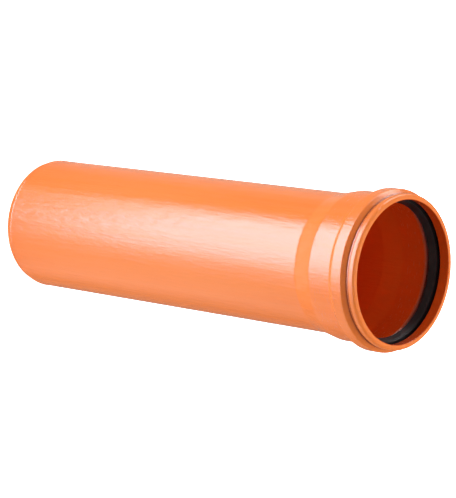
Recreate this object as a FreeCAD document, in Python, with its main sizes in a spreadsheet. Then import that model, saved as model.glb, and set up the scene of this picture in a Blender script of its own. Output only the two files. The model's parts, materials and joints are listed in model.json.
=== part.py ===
"""Socketed gravity-sewer pipe, outside diameter 160 mm, with its rubber sealing ring.

One extruded and belled length of PVC-U and one lip seal in the groove of its socket.
Both sections are drawn in a body whose X axis is the pipe's own axis: x = 0 is the face
of the socket's mouth and x grows towards the spigot end. The bodies are then stood on
the spigot end, mouth up, with the origin at the middle of that end.
"""
import FreeCAD, Part
import Sketcher
import os

# Driving dimensions in millimetres and degrees: alias, value, what it is.
SIZES = [
    ("pipe_diameter", 160.0, "outside diameter of the barrel and spigot"),
    ("pipe_wall", 4.7, "wall of the barrel, kept through the socket"),
    ("overall_length", 570.0, "mouth of the socket to the spigot end"),
    ("chamfer_length", 7.0, "lead-in bevel on the spigot end"),
    ("chamfer_angle", 15.0, "bevel against the pipe's axis"),
    ("bore_clearance", 0.45, "radial play of a spigot in the socket"),
    ("socket_depth", 65.8, "mouth to where the socket starts to taper"),
    ("cone_length", 24.5, "taper from the socket down to the barrel"),
    ("mouth_clearance", 0.7, "radial play of a spigot at the mouth"),
    ("lip_clearance", 1.75, "radial play at the inner end of the lip"),
    ("lip_depth", 12.85, "mouth to the inner end of the lip"),
    ("collar_thickening", 0.95, "how much thicker the lip is than the pipe's wall"),
    ("waist_thinning", 0.45, "how much thinner the waist behind the lip is"),
    ("waist_floor", 1.7, "width of the waist's floor"),
    ("waist_slope", 49.4, "back of the lip against the axis"),
    ("groove_depth", 6.45, "ring groove's floor outside the socket's bore"),
    ("groove_floor", 9.6, "width of the groove's floor"),
    ("front_slope", 49.8, "groove's front wall against the axis"),
    ("back_slope", 41.1, "groove's back wall against the axis"),
    ("seat_gap", 0.3, "ring to groove, all round"),
    ("ring_setback", 3.15, "lip's inner end to the ring's front face"),
    ("ring_length", 14.0, "ring's front face to its back"),
    ("lead_in_length", 3.0, "sloped front of the ring's inside"),
    ("lead_in_height", 0.8, "how far the ring opens at its front"),
    ("seal_clearance", 0.2, "pressed-back lip to a seated spigot"),
    ("mouth_round", 3.5, "outer edge of the mouth"),
    ("inner_edge_round", 0.8, "edges of the lip's inside"),
    ("collar_round", 2.5, "back edge of the lip"),
    ("waist_round", 0.6, "both corners of the waist"),
    ("bead_round", 2.0, "both shoulders of the bead"),
    ("bead_foot_round", 2.0, "foot of the bead on the socket, in and out"),
    ("groove_round", 1.5, "corners of the groove's floor"),
    ("cone_round", 20.0, "blends at both ends of the taper"),
    ("ring_round", 0.5, "edges of the ring's inside"),
]
SHEET = "Sizes"


def sized(alias):
    """Expression that reads one cell of the sheet."""
    return f"{SHEET}.{alias}"


# Radii, all worked out from the cells above.
PIPE_R = f"({sized('pipe_diameter')} / 2)"
BARREL_BORE_R = f"({PIPE_R} - {sized('pipe_wall')})"
SPIGOT_TIP_R = f"({PIPE_R} - {sized('chamfer_length')} * tan({sized('chamfer_angle')}))"
SOCKET_BORE_R = f"({PIPE_R} + {sized('bore_clearance')})"
SOCKET_R = f"({SOCKET_BORE_R} + {sized('pipe_wall')})"
GROOVE_R = f"({SOCKET_BORE_R} + {sized('groove_depth')})"
BEAD_R = f"({GROOVE_R} + {sized('pipe_wall')})"
MOUTH_R = f"({PIPE_R} + {sized('mouth_clearance')})"
LIP_BORE_R = f"({PIPE_R} + {sized('lip_clearance')})"
COLLAR_R = f"({LIP_BORE_R} + {sized('pipe_wall')} + {sized('collar_thickening')})"
WAIST_R = f"({LIP_BORE_R} + {sized('pipe_wall')} - {sized('waist_thinning')})"
RING_R = f"({GROOVE_R} - {sized('seat_gap')})"
RING_BORE_R = f"({PIPE_R} + {sized('seal_clearance')})"
RING_NOSE_R = f"({RING_BORE_R} + {sized('lead_in_height')})"

# Places along the axis. The outside follows the inside at the distance of one wall.
FRONT_SLOPE = f"tan({sized('front_slope')})"
BACK_SLOPE = f"tan({sized('back_slope')})"
GROOVE_FRONT_X = f"({sized('lip_depth')} + ({GROOVE_R} - {LIP_BORE_R}) / {FRONT_SLOPE})"
GROOVE_BACK_X = f"({GROOVE_FRONT_X} + {sized('groove_floor')})"
GROOVE_FOOT_X = f"({GROOVE_BACK_X} + {sized('groove_depth')} / {BACK_SLOPE})"
BEAD_FRONT_X = f"({GROOVE_FRONT_X} - {sized('pipe_wall')} * tan({sized('front_slope')} / 2))"
BEAD_BACK_X = f"({GROOVE_BACK_X} + {sized('pipe_wall')} * tan({sized('back_slope')} / 2))"
BEAD_FOOT_X = f"({BEAD_BACK_X} + {sized('groove_depth')} / {BACK_SLOPE})"
WAIST_BACK_X = f"({BEAD_FRONT_X} - ({BEAD_R} - {WAIST_R}) / {FRONT_SLOPE})"
WAIST_FRONT_X = f"({WAIST_BACK_X} - {sized('waist_floor')})"
COLLAR_BACK_X = f"({WAIST_FRONT_X} - ({COLLAR_R} - {WAIST_R}) / tan({sized('waist_slope')}))"
CONE_END_X = f"({sized('socket_depth')} + {sized('cone_length')})"
CONE_SHIFT = (f"({sized('pipe_wall')} * "
              f"tan(atan(({SOCKET_R} - {PIPE_R}) / {sized('cone_length')}) / 2))")
INNER_CONE_X = f"({sized('socket_depth')} - {CONE_SHIFT})"
INNER_CONE_END_X = f"({CONE_END_X} - {CONE_SHIFT})"
CHAMFER_X = f"({sized('overall_length')} - {sized('chamfer_length')})"

# The ring's faces are the groove's, moved in by the seat gap.
RING_FRONT_X = f"({sized('lip_depth')} + {sized('ring_setback')})"
RING_BACK_X = f"({RING_FRONT_X} + {sized('ring_length')})"
RING_FLOOR_X = f"({GROOVE_FRONT_X} + {sized('seat_gap')} * tan({sized('front_slope')} / 2))"
RING_FLOOR_END_X = f"({GROOVE_BACK_X} - {sized('seat_gap')} * tan({sized('back_slope')} / 2))"
RING_SHOULDER_R = f"({RING_R} - ({RING_FLOOR_X} - {RING_FRONT_X}) * {FRONT_SLOPE})"
RING_HEEL_R = f"({RING_R} - ({RING_BACK_X} - {RING_FLOOR_END_X}) * {BACK_SLOPE})"
LEAD_IN_X = f"({RING_FRONT_X} + {sized('lead_in_length')})"

# Corners of the two sections, in order round the outline: name -> (x, radius).
PIPE_CORNERS = {
    "mouth_inner": ("0", MOUTH_R),
    "mouth_outer": ("0", COLLAR_R),
    "collar_back": (COLLAR_BACK_X, COLLAR_R),
    "waist_front": (WAIST_FRONT_X, WAIST_R),
    "waist_back": (WAIST_BACK_X, WAIST_R),
    "bead_front": (BEAD_FRONT_X, BEAD_R),
    "bead_back": (BEAD_BACK_X, BEAD_R),
    "bead_foot": (BEAD_FOOT_X, SOCKET_R),
    "cone_start": (sized("socket_depth"), SOCKET_R),
    "cone_end": (CONE_END_X, PIPE_R),
    "bevel_start": (CHAMFER_X, PIPE_R),
    "tip_outer": (sized("overall_length"), SPIGOT_TIP_R),
    "tip_inner": (sized("overall_length"), BARREL_BORE_R),
    "inner_cone_end": (INNER_CONE_END_X, BARREL_BORE_R),
    "inner_cone_start": (INNER_CONE_X, SOCKET_BORE_R),
    "groove_foot": (GROOVE_FOOT_X, SOCKET_BORE_R),
    "groove_back": (GROOVE_BACK_X, GROOVE_R),
    "groove_front": (GROOVE_FRONT_X, GROOVE_R),
    "lip_back": (sized("lip_depth"), LIP_BORE_R),
}
RING_CORNERS = {
    "nose": (RING_FRONT_X, RING_NOSE_R),
    "shoulder": (RING_FRONT_X, RING_SHOULDER_R),
    "floor_front": (RING_FLOOR_X, RING_R),
    "floor_back": (RING_FLOOR_END_X, RING_R),
    "heel": (RING_BACK_X, RING_HEEL_R),
    "back": (RING_BACK_X, RING_BORE_R),
    "lead_in": (LEAD_IN_X, RING_BORE_R),
}

# Rounded corners: the cell that holds the radius -> the corners that share it.
PIPE_ROUNDS = {
    "mouth_round": ["mouth_outer"],
    "inner_edge_round": ["mouth_inner", "lip_back"],
    "collar_round": ["collar_back"],
    "waist_round": ["waist_front", "waist_back"],
    "bead_round": ["bead_front", "bead_back"],
    "bead_foot_round": ["bead_foot", "groove_foot"],
    "groove_round": ["groove_front", "groove_back"],
    "cone_round": ["cone_start", "cone_end", "inner_cone_start", "inner_cone_end"],
}
RING_ROUNDS = {
    "ring_round": ["nose", "lead_in", "back"],
}

MATCH = 1e-4          # mm: how near an edge lies to the corner it is looked up by


def make_sheet(doc):
    """Put every driving dimension in a cell of its own, with an alias and a note."""
    sheet = doc.addObject("Spreadsheet::Sheet", SHEET)
    for row, (alias, value, note) in enumerate(SIZES, start=1):
        sheet.set(f"A{row}", alias)
        sheet.set(f"B{row}", str(value))
        sheet.set(f"C{row}", note)
        sheet.setAlias(f"B{row}", alias)
    doc.recompute()


def origin_feature(body, role):
    """Plane or axis of the body's own origin, found by its role."""
    return next(item for item in body.Origin.OriginFeatures if item.Role == role)


def number(owner, expression):
    """Value of an expression as a plain float."""
    value = owner.evalExpression(expression)
    return float(getattr(value, "Value", value))


def pin_corner(sketch, index, name, kind, value, expression):
    """Hold one coordinate of a corner, measured from the sketch's origin."""
    constraint = Sketcher.Constraint(kind, -1, 1, index, 1, value)
    added = sketch.addConstraint(constraint)
    sketch.renameConstraint(added, name)
    sketch.setExpression(f"Constraints.{name}", expression)


def draw_section(body, corners):
    """Closed section on the XZ plane, every corner bound to the sheet."""
    sketch = body.newObject("Sketcher::SketchObject", f"{body.Name}_section")
    sketch.AttachmentSupport = (origin_feature(body, "XZ_Plane"), [""])
    sketch.MapMode = "FlatFace"
    points = []
    for x, radius in corners.values():
        points.append(FreeCAD.Vector(number(sketch, x), number(sketch, radius), 0))
    following = points[1:] + points[:1]
    for start, end in zip(points, following):
        sketch.addGeometry(Part.LineSegment(start, end), False)
    for index in range(len(points)):
        after = (index + 1) % len(points)
        sketch.addConstraint(Sketcher.Constraint("Coincident", index, 2, after, 1))
    for index, (corner, (x, radius)) in enumerate(corners.items()):
        pin_corner(sketch, index, f"{corner}_x", "DistanceX", points[index].x, x)
        pin_corner(sketch, index, f"{corner}_radius", "DistanceY", points[index].y, radius)
    return sketch


def revolve(body, sketch):
    """Turn the section through a full circle about the pipe's axis."""
    turned = body.newObject("PartDesign::Revolution", f"{body.Name}_revolved")
    turned.Profile = (sketch, [""])
    turned.ReferenceAxis = (origin_feature(body, "X_Axis"), [""])
    turned.Angle = 360
    body.Document.recompute()
    return turned


def circle_edges(feature, corners, names):
    """Names of the circular edges that the named corners sweep out."""
    found = []
    for name in names:
        x, radius = (number(feature, expression) for expression in corners[name])
        for index, edge in enumerate(feature.Shape.Edges, start=1):
            curve = edge.Curve
            if not isinstance(curve, Part.Circle):
                continue
            if abs(curve.Center.x - x) < MATCH and abs(curve.Radius - radius) < MATCH:
                found.append(f"Edge{index}")
                break
        else:
            raise RuntimeError(f"{feature.Name}: no edge at corner {name}")
    return found


def round_corners(body, base, corners, rounds):
    """One fillet for each radius, on the corners that share it."""
    for alias, names in rounds.items():
        fillet = body.newObject("PartDesign::Fillet", f"{body.Name}_{alias}")
        fillet.Base = (base, circle_edges(base, corners, names))
        fillet.setExpression("Radius", sized(alias))
        body.Document.recompute()
        base = fillet
    return base


def stand_up(body):
    """Stand the pipe on its spigot end: the body's x axis points down from the mouth."""
    pitch_axis = FreeCAD.Vector(0, 1, 0)
    quarter_turn = FreeCAD.Rotation(pitch_axis, 90)
    body.Placement = FreeCAD.Placement(FreeCAD.Vector(), quarter_turn)
    body.setExpression("Placement.Base.z", sized("overall_length"))


def make_turned_body(doc, label, corners, rounds):
    """A body of revolution: section, revolution, rounded corners, standing place."""
    body = doc.addObject("PartDesign::Body", label)
    body.Label = label
    sketch = draw_section(body, corners)
    turned = revolve(body, sketch)
    body.Tip = round_corners(body, turned, corners, rounds)
    stand_up(body)
    doc.recompute()
    return body


def check(doc, bodies):
    """Stop if any object failed to compute or any body has no sound shape."""
    for item in doc.Objects:
        if "Invalid" in item.State or "Error" in item.State:
            raise RuntimeError(f"{item.Name} failed: {item.State}")
    for body in bodies:
        if body.Shape.isNull() or not body.Shape.isValid():
            raise RuntimeError(f"{body.Label} has no valid shape")
        if len(body.Shape.Solids) != 1:
            raise RuntimeError(f"{body.Label} is not one solid")


def main():
    doc = FreeCAD.newDocument("SewerPipe")
    make_sheet(doc)
    bodies = [
        make_turned_body(doc, "pipe", PIPE_CORNERS, PIPE_ROUNDS),
        make_turned_body(doc, "sealing_ring", RING_CORNERS, RING_ROUNDS),
    ]
    check(doc, bodies)
    os.makedirs("parts", exist_ok=True)
    for body in bodies:
        body.Shape.exportStep(f"parts/{body.Label}.step")
        box = body.Shape.BoundBox
        print(f"{body.Label}: {body.Shape.Volume / 1000:.1f} cm3, box {box}")


main()
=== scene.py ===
import json
import math
import random

import bpy
from mathutils import Matrix, Vector


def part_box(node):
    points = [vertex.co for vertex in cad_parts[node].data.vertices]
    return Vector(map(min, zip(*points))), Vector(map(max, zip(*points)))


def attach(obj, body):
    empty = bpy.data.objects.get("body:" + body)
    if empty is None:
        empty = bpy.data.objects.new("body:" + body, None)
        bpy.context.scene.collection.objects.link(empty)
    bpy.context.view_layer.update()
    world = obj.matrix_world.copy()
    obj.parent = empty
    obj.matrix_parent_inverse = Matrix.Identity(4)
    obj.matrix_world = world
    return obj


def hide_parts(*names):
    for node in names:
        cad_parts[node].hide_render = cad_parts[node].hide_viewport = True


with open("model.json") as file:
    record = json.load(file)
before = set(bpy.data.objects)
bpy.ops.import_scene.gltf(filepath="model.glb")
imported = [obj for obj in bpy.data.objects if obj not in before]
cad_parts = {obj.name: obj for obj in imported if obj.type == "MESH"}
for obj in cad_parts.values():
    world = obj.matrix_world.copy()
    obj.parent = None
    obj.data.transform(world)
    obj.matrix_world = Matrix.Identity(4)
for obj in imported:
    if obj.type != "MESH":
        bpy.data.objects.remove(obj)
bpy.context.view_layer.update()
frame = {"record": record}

MM = 0.001
DEGREE = math.pi / 180

# ---------------------------------------------------------------- sizes, in metres
PIPE_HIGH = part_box("pipe")[1]
RING_LOW, RING_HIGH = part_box("sealing_ring")
MOUNTS = {mount["name"]: mount["dims"] for mount in frame["record"]["mounts"]}
PIPE_R = MOUNTS["spigot"]["r_mm"] * MM
SOCKET_BORE_R = MOUNTS["socket_bore"]["r_mm"] * MM
BARREL_BORE_R = MOUNTS["barrel_bore"]["r_mm"] * MM
WALL = PIPE_R - BARREL_BORE_R
MOUTH_Z = PIPE_HIGH.z
BEAD_R = PIPE_HIGH.x
GROOVE_R = BEAD_R - WALL
SOCKET_R = SOCKET_BORE_R + WALL
LENGTH = MOUTH_Z

# The rest of the pipe's section, as in the CAD model; depths run down from the mouth.
CHAMFER_LENGTH = 7.0 * MM
CHAMFER_ANGLE = 15.0 * DEGREE
SOCKET_DEPTH = 65.8 * MM
CONE_LENGTH = 24.5 * MM
MOUTH_R = PIPE_R + 0.7 * MM
LIP_BORE_R = PIPE_R + 1.75 * MM
LIP_DEPTH = 12.85 * MM
COLLAR_R = LIP_BORE_R + WALL + 0.95 * MM
WAIST_R = LIP_BORE_R + WALL - 0.45 * MM
WAIST_FLOOR = 1.7 * MM
WAIST_SLOPE = 49.4 * DEGREE
GROOVE_FLOOR = 9.6 * MM
FRONT_SLOPE = 49.8 * DEGREE
BACK_SLOPE = 41.1 * DEGREE
MOUTH_ROUND = 3.5 * MM
INNER_EDGE_ROUND = 0.8 * MM
COLLAR_ROUND = 2.5 * MM
WAIST_ROUND = 0.6 * MM
BEAD_ROUND = 2.0 * MM
BEAD_FOOT_ROUND = 2.0 * MM
GROOVE_ROUND = 1.5 * MM
CONE_ROUND = 20.0 * MM

# ---------------------------------------------------------------- camera
VIEW_ELEVATION = 42.42 * DEGREE   # down on the mouth of the standing pipe
VIEW_ROLL = -98.16 * DEGREE       # the pipe's axis then runs across the picture
VIEW_DISTANCE = 2.578
LENS_MM = 157.4
AIM = Vector((0.0018, 0, 0.305))  # on the axis, a little above the pipe's middle

LOOK = Vector((0, math.cos(VIEW_ELEVATION), -math.sin(VIEW_ELEVATION)))
LEVEL_RIGHT = Vector((1, 0, 0))
LEVEL_DOWN = LOOK.cross(LEVEL_RIGHT)
RIGHT = math.cos(VIEW_ROLL) * LEVEL_RIGHT + math.sin(VIEW_ROLL) * LEVEL_DOWN
UP = math.sin(VIEW_ROLL) * LEVEL_RIGHT - math.cos(VIEW_ROLL) * LEVEL_DOWN


def make_camera():
    data = bpy.data.cameras.new("camera")
    data.lens = LENS_MM
    camera = bpy.data.objects.new("camera", data)
    turn = Matrix((RIGHT, UP, -LOOK)).transposed().to_4x4()
    camera.matrix_world = Matrix.Translation(AIM - VIEW_DISTANCE * LOOK) @ turn
    bpy.context.scene.collection.objects.link(camera)
    bpy.context.scene.camera = camera


# ---------------------------------------------------------------- node helpers
class Nodes:
    """A small wrapper that adds shader nodes and links them by name."""

    def __init__(self, tree):
        self.tree = tree

    def add(self, kind, **inputs):
        node = self.tree.nodes.new(kind)
        for name, value in inputs.items():
            self.set(node, name, value)
        return node

    def set(self, node, name, value):
        numbered = name[1:].isdigit()
        socket = node.inputs[int(name[1:]) if numbered else name.replace("_", " ")]
        if isinstance(value, bpy.types.NodeSocket):
            self.tree.links.new(value, socket)
        else:
            socket.default_value = value

    def math(self, operation, first, second=0.0, third=0.0):
        node = self.add("ShaderNodeMath", _0=first, _1=second, _2=third)
        node.operation = operation
        return node.outputs[0]

    def noise(self, vector, scale, detail=4.0, roughness=0.5):
        node = self.add("ShaderNodeTexNoise", Vector=vector, Scale=scale,
                        Detail=detail, Roughness=roughness)
        return node.outputs["Fac"]

    def stretch(self, vector, scale):
        node = self.add("ShaderNodeMapping", Vector=vector, Scale=scale)
        return node.outputs[0]

    def ramp(self, value, low, high, to_low=0.0, to_high=1.0):
        node = self.add("ShaderNodeMapRange", Value=value, _1=low, _2=high, _3=to_low, _4=to_high)
        node.interpolation_type = "SMOOTHSTEP"
        return node.outputs[0]

    def mix(self, factor, first, second):
        node = self.add("ShaderNodeMix")
        node.data_type = "RGBA"
        self.set(node, "_0", factor)
        self.set(node, "_6", first)
        self.set(node, "_7", second)
        return node.outputs[2]

    def bump(self, height, strength, distance, normal=None):
        node = self.add("ShaderNodeBump", Height=height, Strength=strength, Distance=distance)
        if normal is not None:
            self.set(node, "Normal", normal)
        return node.outputs[0]


def new_material(name):
    """(material, its Nodes, its Principled shader, object coordinates)."""
    material = bpy.data.materials.new(name)
    material.use_nodes = True
    nodes = Nodes(material.node_tree)
    shader = material.node_tree.nodes["Principled BSDF"]
    coordinates = nodes.add("ShaderNodeTexCoord").outputs["Object"]
    return material, nodes, shader, coordinates


# ---------------------------------------------------------------- turned meshes
SEGMENTS = 340                    # round the axis; keeps the pipe under 200,000 triangles
ARC_STEP = 6 * DEGREE             # along a rounded corner
SUPPORT = 0.25 * MM               # keeps a flat stretch's shading flat up to its corner
SHARP = 32 * DEGREE               # a harder turn than this in an outline stays an edge


def rounded(corners):
    """Closed outline through (depth, radius, round) corners, each round as an arc."""
    points = []
    count = len(corners)
    for index, (depth, radius, arc) in enumerate(corners):
        corner = Vector((depth, radius))
        before = (Vector(corners[index - 1][:2]) - corner).normalized()
        after = (Vector(corners[(index + 1) % count][:2]) - corner).normalized()
        if arc == 0:
            points.append(corner)
            continue
        opening = before.angle(after)
        turn = math.pi - opening
        middle = corner + (before + after).normalized() * (arc / math.sin(opening / 2))
        start = corner + before * (arc / math.tan(opening / 2)) - middle
        side = 1 if before.x * after.y - before.y * after.x > 0 else -1
        steps = max(2, math.ceil(turn / ARC_STEP))
        for step in range(steps + 1):
            angle = -side * turn * step / steps
            points.append(middle + Matrix.Rotation(angle, 2) @ start)
    return points


def divided(points, longest):
    """The outline with long stretches cut up, and a point close to each end of a stretch."""
    result = []
    for index, start in enumerate(points):
        end = points[(index + 1) % len(points)]
        length = (end - start).length
        result.append(start)
        if length < 4 * SUPPORT:
            continue
        first, last = SUPPORT / length, 1 - SUPPORT / length
        parts = math.ceil(length / longest)
        places = [first + (last - first) * part / parts for part in range(parts + 1)]
        result += [start.lerp(end, place) for place in places]
    return result


def turned(name, section, relief=None):
    """Closed mesh of a section of (depth, radius) points turned about the pipe's axis."""
    vertices = []
    for depth, radius in section:
        for step in range(SEGMENTS):
            angle = 2 * math.pi * step / SEGMENTS
            r = radius + (relief(angle, radius, depth) if relief else 0.0)
            vertices.append((r * math.cos(angle), r * math.sin(angle), MOUTH_Z - depth))
    faces = []
    for row in range(len(section)):
        after = (row + 1) % len(section)
        for step in range(SEGMENTS):
            right = (step + 1) % SEGMENTS
            corners = [(row, step), (after, step), (after, right), (row, right)]
            faces.append([ring * SEGMENTS + place for ring, place in corners])
    mesh = bpy.data.meshes.new(name)
    mesh.from_pydata(vertices, [], faces)
    mesh.shade_smooth()
    mesh.set_sharp_from_angle(angle=SHARP)
    piece = bpy.data.objects.new(name, mesh)
    bpy.context.scene.collection.objects.link(piece)
    return piece


# ---------------------------------------------------------------- the pipe
DIE_LINES = 36                    # faint lengthwise lines left by the extrusion die
DIE_LINE_DEPTH = 0.05 * MM
DIE_LINE_WIDTH = 1.1 * DEGREE
WAVE_HEIGHT = 0.05 * MM           # slow unevenness of a cooled wall
BURR_WIDTH = 1.2 * MM             # where the spigot's bevel was cut
BURR_HEIGHT = 0.3 * MM
BURR_ROUND = 0.3 * MM
RELIEF_STEP = 12 * MM             # rings along the barrel, close enough for the unevenness


def pipe_corners():
    """Corners of the section: outside from the mouth to the spigot end, then back inside."""
    front, back = math.tan(FRONT_SLOPE), math.tan(BACK_SLOPE)
    groove_front = LIP_DEPTH + (GROOVE_R - LIP_BORE_R) / front
    groove_back = groove_front + GROOVE_FLOOR
    groove_foot = groove_back + (GROOVE_R - SOCKET_BORE_R) / back
    bead_front = groove_front - WALL * math.tan(FRONT_SLOPE / 2)
    bead_back = groove_back + WALL * math.tan(BACK_SLOPE / 2)
    bead_foot = bead_back + (BEAD_R - SOCKET_R) / back
    waist_back = bead_front - (BEAD_R - WAIST_R) / front
    waist_front = waist_back - WAIST_FLOOR
    collar_back = waist_front - (COLLAR_R - WAIST_R) / math.tan(WAIST_SLOPE)
    cone_end = SOCKET_DEPTH + CONE_LENGTH
    cone_shift = WALL * math.tan(math.atan((SOCKET_R - PIPE_R) / CONE_LENGTH) / 2)
    chamfer = LENGTH - CHAMFER_LENGTH
    tip_r = PIPE_R - CHAMFER_LENGTH * math.tan(CHAMFER_ANGLE)
    return [
        (0, MOUTH_R, INNER_EDGE_ROUND),
        (0, COLLAR_R, MOUTH_ROUND),
        (collar_back, COLLAR_R, COLLAR_ROUND),
        (waist_front, WAIST_R, WAIST_ROUND),
        (waist_back, WAIST_R, WAIST_ROUND),
        (bead_front, BEAD_R, BEAD_ROUND),
        (bead_back, BEAD_R, BEAD_ROUND),
        (bead_foot, SOCKET_R, BEAD_FOOT_ROUND),
        (SOCKET_DEPTH, SOCKET_R, CONE_ROUND),
        (cone_end, PIPE_R, CONE_ROUND),
        (chamfer - BURR_WIDTH, PIPE_R, 0),
        (chamfer, PIPE_R + BURR_HEIGHT, BURR_ROUND),
        (chamfer + BURR_WIDTH, PIPE_R - BURR_WIDTH * math.tan(CHAMFER_ANGLE), 0),
        (LENGTH, tip_r, 0),
        (LENGTH, BARREL_BORE_R, 0),
        (cone_end - cone_shift, BARREL_BORE_R, CONE_ROUND),
        (SOCKET_DEPTH - cone_shift, SOCKET_BORE_R, CONE_ROUND),
        (groove_foot, SOCKET_BORE_R, BEAD_FOOT_ROUND),
        (groove_back, GROOVE_R, GROOVE_ROUND),
        (groove_front, GROOVE_R, GROOVE_ROUND),
        (LIP_DEPTH, LIP_BORE_R, INNER_EDGE_ROUND),
    ]


def wall_relief():
    """Die lines run the pipe's length; a slow wave changes along it. Both lower the radius."""
    chance = random.Random(7)
    lines = [(chance.uniform(0, 2 * math.pi), chance.uniform(0.2, 1.0)) for _ in range(DIE_LINES)]
    waves = [(chance.randint(2, 7), chance.uniform(0, 6), chance.uniform(5, 16)) for _ in range(5)]

    def relief(angle, radius, depth):
        cut = 0.0
        for place, strength in lines:
            apart = abs((angle - place + math.pi) % (2 * math.pi) - math.pi)
            cut += strength * math.exp(-(apart / DIE_LINE_WIDTH) ** 2)
        wave = sum(math.sin(count * angle + phase + rate * depth) for count, phase, rate in waves)
        return -DIE_LINE_DEPTH * min(cut, 1.0) - WAVE_HEIGHT * (1 + wave / len(waves)) / 2

    return relief


def make_pipe():
    section = divided(rounded(pipe_corners()), RELIEF_STEP)
    pipe = turned("pipe_wall", section, wall_relief())
    pipe.data.materials.append(pvc_material())
    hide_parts("pipe")
    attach(pipe, "root")


# ---------------------------------------------------------------- the sealing ring
NOSE_R = PIPE_R - 0.4 * MM        # front edge of the relaxed ring
TIP_R = PIPE_R - 4.6 * MM         # how far the relaxed lip reaches in
TIP_SETBACK = 8.7 * MM            # behind the ring's front edge
TIP_THICKNESS = 2.2 * MM
ROOT_SETBACK = 5.5 * MM
ROOT_CLEARANCE = 0.6 * MM         # outside the socket's bore
BACK_CLEARANCE = 1.2 * MM
NOSE_BEAD = 0.9 * MM
BEAD_START = 1.1 * MM             # behind the ring's front edge
BEAD_END = 1.5 * MM
SHOULDER = 1.34 * MM
HEEL = 3.3 * MM
SEAT_ROUND = 0.4 * MM
RING_STEP = 2 * MM                # longest face along the ring's section
RING_FRONT = MOUTH_Z - RING_HIGH.z
RING_BACK = MOUTH_Z - RING_LOW.z
RING_R = RING_HIGH.x


def ring_corners():
    """Section of the relaxed lip ring: nose, front, seat in the groove, back, root, lip."""
    return [
        (RING_FRONT, NOSE_R, 0.45 * MM),
        (RING_FRONT, RING_R - SHOULDER * math.tan(FRONT_SLOPE), SEAT_ROUND),
        (RING_FRONT + SHOULDER, RING_R, SEAT_ROUND),
        (RING_BACK - HEEL, RING_R, SEAT_ROUND),
        (RING_BACK, RING_R - HEEL * math.tan(BACK_SLOPE), 0.5 * MM),
        (RING_BACK, SOCKET_BORE_R + BACK_CLEARANCE, 0.8 * MM),
        (RING_FRONT + ROOT_SETBACK, SOCKET_BORE_R + ROOT_CLEARANCE, 1.0 * MM),
        (RING_FRONT + TIP_SETBACK, TIP_R + TIP_THICKNESS, 0.6 * MM),
        (RING_FRONT + TIP_SETBACK, TIP_R, 0.6 * MM),
        (RING_FRONT + BEAD_END, NOSE_R - NOSE_BEAD, 0.5 * MM),
        (RING_FRONT + BEAD_START, NOSE_R - 0.2 * MM, 0.2 * MM),
    ]


def make_ring():
    ring = turned("lip_ring", divided(rounded(ring_corners()), RING_STEP))
    ring.data.materials.append(rubber_material())
    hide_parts("sealing_ring")
    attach(ring, "root")


# ---------------------------------------------------------------- materials
ORANGE = (0.93, 0.215, 0.034, 1)
PALE_ORANGE = (0.95, 0.235, 0.042, 1)
STREAK = (0.96, 0.29, 0.07, 1)
# painted shade: the bore's colour, darker and redder than the outside's
BORE_PAINTED_SHADE = (0.84, 0.13, 0.014, 1)
SCUFF = (0.62, 0.13, 0.03, 1)
# painted shade: the brown that crevices such as the waist are drawn in
CREVICE_PAINTED_SHADE = (0.22, 0.03, 0.008, 1)
PVC_ROUGHNESS = (0.11, 0.24)
PVC_IOR = 1.54
STREAK_AMOUNT = 0.2
SCUFF_AMOUNT = 0.5
SCUFF_ROUGHNESS = 0.2
SCRATCH_HEIGHT = 0.2 * MM
DENT_HEIGHT = 0.5 * MM
CREVICE = 5 * MM                  # how near a facing wall shades the surface
CREVICE_RANGE = (0.68, 0.93)      # how open a place is, from full painted shade (brown) to plain orange
SCUFFS_ROUND = 9.0                # noise cells to the radian round the socket
SCUFFS_ALONG = 900.0              # and to the metre along it
RUBBER_BLACK = (0.010, 0.010, 0.011, 1)
RUBBER_BLOOM = (0.022, 0.021, 0.022, 1)
RUBBER_ROUGHNESS = (0.34, 0.5)
RUBBER_GRAIN = 0.1 * MM


def pvc_material():
    """Glossy orange-brown pipe compound: lengthwise streaks, clouding, scuffs, painted shade in
    crevices and in the bore.
    """
    material, nodes, shader, place = new_material("pvc")
    along = nodes.stretch(place, (120.0, 120.0, 1.6))
    broad = nodes.stretch(place, (16.0, 16.0, 3.0))
    streaks = nodes.ramp(nodes.noise(along, 1.0, 5.0, 0.6), 0.3, 0.7)
    cloud = nodes.ramp(nodes.noise(broad, 1.0, 3.0), 0.3, 0.7)
    tone = nodes.mix(cloud, ORANGE, PALE_ORANGE)
    streaked = nodes.mix(nodes.math("MULTIPLY", streaks, STREAK_AMOUNT), tone, STREAK)
    # painted shade: surfaces facing the axis are drawn darker and redder
    bore_shaded = nodes.mix(bore_shade_mask(nodes, place), streaked, BORE_PAINTED_SHADE)
    scuffs = socket_scuffs(nodes, place)
    scuffed = nodes.mix(nodes.math("MULTIPLY", scuffs, SCUFF_AMOUNT), bore_shaded, SCUFF)
    # painted shade: ambient occlusion turns the colour brown in crevices such as the waist
    crevice = nodes.add("ShaderNodeAmbientOcclusion", Distance=CREVICE).outputs["AO"]
    open_air = nodes.ramp(crevice, *CREVICE_RANGE)
    nodes.set(shader, "Base_Color", nodes.mix(open_air, CREVICE_PAINTED_SHADE, scuffed))
    gloss = nodes.ramp(nodes.noise(along, 2.0, 5.0, 0.7), 0.25, 0.75, *PVC_ROUGHNESS)
    dulled = nodes.math("MULTIPLY", scuffs, SCUFF_ROUGHNESS)
    nodes.set(shader, "Roughness", nodes.math("ADD", gloss, dulled))
    shader.inputs["IOR"].default_value = PVC_IOR
    dents = nodes.noise(nodes.stretch(place, (300.0, 300.0, 45.0)), 1.0, 3.0, 0.6)
    scratches = nodes.noise(nodes.stretch(place, (900.0, 900.0, 30.0)), 1.0, 3.0, 0.7)
    fine = nodes.bump(scratches, 0.5, SCRATCH_HEIGHT)
    nodes.set(shader, "Normal", nodes.bump(dents, 0.9, DENT_HEIGHT, fine))
    return material


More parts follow.
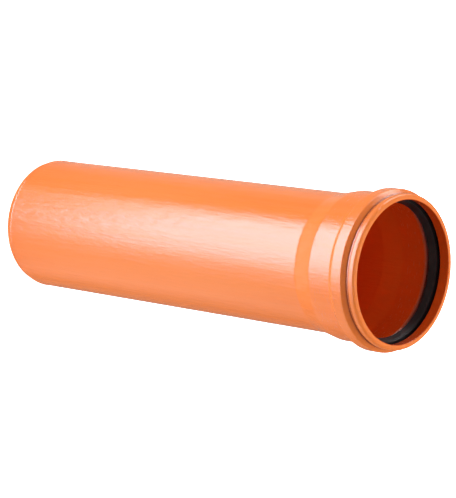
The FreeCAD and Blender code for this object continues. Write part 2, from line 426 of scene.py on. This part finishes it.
def bore_shade_mask(nodes, place):
    """1 on surfaces that face the pipe's axis, which get painted shade, darker and redder, else 0.
    """
    normal = nodes.add("ShaderNodeNewGeometry").outputs["Normal"]
    outwards = nodes.stretch(place, (1.0, 1.0, 0.0))
    product = nodes.add("ShaderNodeVectorMath", _0=normal, _1=outwards)
    product.operation = "DOT_PRODUCT"
    return nodes.ramp(product.outputs["Value"], -0.25 * PIPE_R, 0.0, 1.0, 0.0)


def socket_scuffs(nodes, place):
    """Short faint marks that run round the socket, where the mould and hands touched it."""
    parts = nodes.add("ShaderNodeSeparateXYZ", Vector=place)
    x, y, z = parts.outputs
    angle = nodes.math("ARCTAN2", x, y)
    unrolled = nodes.add("ShaderNodeCombineXYZ", X=nodes.math("MULTIPLY", angle, SCUFFS_ROUND),
                         Y=nodes.math("MULTIPLY", z, SCUFFS_ALONG)).outputs[0]
    marks = nodes.ramp(nodes.noise(unrolled, 1.0, 2.0), 0.6, 0.72)
    zone = nodes.ramp(z, MOUTH_Z - SOCKET_DEPTH, MOUTH_Z - SOCKET_DEPTH + 6 * MM)
    return nodes.math("MULTIPLY", marks, zone)


def rubber_material():
    """Black moulded rubber with a dull sheen, faint bloom and fine grain."""
    material, nodes, shader, place = new_material("rubber")
    bloom = nodes.ramp(nodes.noise(place, 45.0, 5.0), 0.4, 0.75)
    nodes.set(shader, "Base_Color", nodes.mix(bloom, RUBBER_BLACK, RUBBER_BLOOM))
    sheen = nodes.ramp(nodes.noise(place, 160.0, 4.0), 0.3, 0.7, *RUBBER_ROUGHNESS)
    nodes.set(shader, "Roughness", sheen)
    grain = nodes.noise(place, 1800.0, 3.0)
    nodes.set(shader, "Normal", nodes.bump(grain, 0.15, RUBBER_GRAIN))
    return material


# ---------------------------------------------------------------- studio
FLOOR_SIZE = 16.0
FLOOR_GLOW = 1.33                 # the lit table's own light
FLOOR_ALBEDO = 0.8
SURROUND_HEIGHT = 9.0
SURROUND_GLOW = 1.0
SKY_GLOW = 0.2
WHITE = (1, 1, 1, 1)
COOL = (0.9, 1.05, 1.35, 1)
CARD_DISTANCE = 6.0
CARD_STEP = 2                     # degrees
LIFT_FROM = 15                    # degrees of azimuth
MIDDLE = Vector((0, 0, LENGTH / 2))


def white_material(name, glow):
    material, _, shader, _ = new_material(name)
    shader.inputs["Base Color"].default_value = (FLOOR_ALBEDO, FLOOR_ALBEDO, FLOOR_ALBEDO, 1)
    shader.inputs["Roughness"].default_value = 0.9
    shader.inputs["Emission Color"].default_value = WHITE
    shader.inputs["Emission Strength"].default_value = glow
    return material


def stage_piece(name, vertices, faces, glow):
    """A white stage surface that the pipe's gloss doesn't mirror."""
    mesh = bpy.data.meshes.new(name)
    mesh.from_pydata(vertices, [], faces)
    mesh.materials.append(white_material(name, glow))
    piece = bpy.data.objects.new(name, mesh)
    piece.visible_glossy = False
    piece.visible_shadow = False
    bpy.context.scene.collection.objects.link(piece)
    return piece


def make_floor():
    half = FLOOR_SIZE / 2
    corners = [(-half, -half), (half, -half), (half, half), (-half, half)]
    stage_piece("floor", [(x, y, 0) for x, y in corners], [(0, 1, 2, 3)], FLOOR_GLOW)
    foot = [(x, y, 0) for x, y in corners]
    top = [(x, y, SURROUND_HEIGHT) for x, y in corners]
    walls = [(side, (side + 1) % 4, 4 + (side + 1) % 4, 4 + side) for side in range(4)]
    surround = stage_piece("surround", foot + top, walls, SURROUND_GLOW)
    surround.visible_diffuse = False


def towards(azimuth, elevation):
    """Unit vector; azimuth runs from the front, -Y, towards -X."""
    azimuth, elevation = azimuth * DEGREE, elevation * DEGREE
    level = math.cos(elevation)
    return Vector((-math.sin(azimuth) * level, -math.cos(azimuth) * level, math.sin(elevation)))


def facing(direction, distance):
    """Place at a distance from the pipe's middle, with -Z turned back towards it."""
    turn = (-direction).to_track_quat("-Z", "Y").to_matrix().to_4x4()
    return Matrix.Translation(MIDDLE + distance * direction) @ turn


def softbox(name, direction, distance, width, height, radiance):
    """Soft light on the pipe's matt colour."""
    data = bpy.data.lights.new(name, "AREA")
    data.shape = "RECTANGLE"
    data.size = width
    data.size_y = height
    data.energy = radiance * math.pi * width * height
    light = bpy.data.objects.new(name, data)
    light.matrix_world = facing(direction, distance)
    light.visible_camera = False
    light.visible_glossy = False
    bpy.context.scene.collection.objects.link(light)


def card_mesh(name, azimuths, elevations, fade, foot, lift):
    """Curved grid round the pipe, with its brightness as the attribute level.

    It can fade in over its first fade degrees of azimuth and its lowest foot degrees, and
    its lower edge can lift, by up to lift degrees, past LIFT_FROM.
    """
    across = round((azimuths[1] - azimuths[0]) / CARD_STEP)
    upward = round((elevations[1] - elevations[0]) / CARD_STEP)
    vertices, levels, faces = [], [], []
    for row in range(upward + 1):
        for column in range(across + 1):
            azimuth = azimuths[0] + (azimuths[1] - azimuths[0]) * column / across
            past = max(0.0, (azimuth - LIFT_FROM) / (azimuths[1] - LIFT_FROM))
            lowest = elevations[0] + lift * past
            elevation = lowest + (elevations[1] - lowest) * row / upward
            vertices.append(MIDDLE + CARD_DISTANCE * towards(azimuth, elevation))
            sideways = min(1.0, (azimuth - azimuths[0]) / fade) if fade else 1.0
            levels.append(sideways * (min(1.0, (elevation - lowest) / foot) if foot else 1.0))
    for row in range(upward):
        for column in range(across):
            corner = row * (across + 1) + column
            faces.append((corner, corner + 1, corner + across + 2, corner + across + 1))
    mesh = bpy.data.meshes.new(name)
    mesh.from_pydata(vertices, [], faces)
    mesh.attributes.new("level", "FLOAT", "POINT").data.foreach_set("value", levels)
    return mesh


def card_material(name, radiance, colour):
    material, nodes, shader, _ = new_material(name)
    shader.inputs["Base Color"].default_value = (0, 0, 0, 1)
    shader.inputs["Specular IOR Level"].default_value = 0
    shader.inputs["Emission Color"].default_value = colour
    level = nodes.add("ShaderNodeAttribute")
    level.attribute_name = "level"
    glow = nodes.math("MULTIPLY", level.outputs["Fac"], radiance)
    nodes.set(shader, "Emission_Strength", glow)
    return material


def card(name, azimuths, elevations, radiance, fade=0, foot=0, lift=0, colour=WHITE):
    """Lit card that shows only in the gloss; its angles are in degrees."""
    mesh = card_mesh(name, azimuths, elevations, fade, foot, lift)
    mesh.materials.append(card_material(name, radiance, colour))
    piece = bpy.data.objects.new(name, mesh)
    piece.visible_camera = False
    piece.visible_diffuse = False
    piece.visible_shadow = False
    bpy.context.scene.collection.objects.link(piece)


def make_lights():
    # The cards give the long highlight with its fading lower side, the haze below it, the rim
    # along the top, the haze on the cone and the sheen at the mouth.
    card("key_card", (-50, 56), (-49, 7), 8.3, fade=54, foot=4, lift=3, colour=COOL)
    card("haze_card", (-125, -20), (-50, -34), 0.9, fade=30)
    card("rim_card", (116, 166), (-49, -14), 0.45)
    card("cone_card", (-90, 90), (-70, -60), 1.3)
    card("mouth_card", (95, 130), (8, 24), 10.0)
    softbox("sky", towards(0, 80), 2.6, 5.0, 5.0, 0.28)
    softbox("key", towards(60, 5), 2.2, 1.5, 1.5, 1.6)
    softbox("lip", towards(180, 60), 2.5, 2.0, 2.0, 4.0)


def make_world():
    world = bpy.data.worlds.new("studio")
    world.use_nodes = True
    background = world.node_tree.nodes["Background"]
    background.inputs["Color"].default_value = WHITE
    background.inputs["Strength"].default_value = SKY_GLOW
    bpy.context.scene.world = world
    bpy.context.scene.view_settings.view_transform = "Standard"


make_camera()
make_pipe()
make_ring()
make_floor()
make_lights()
make_world()
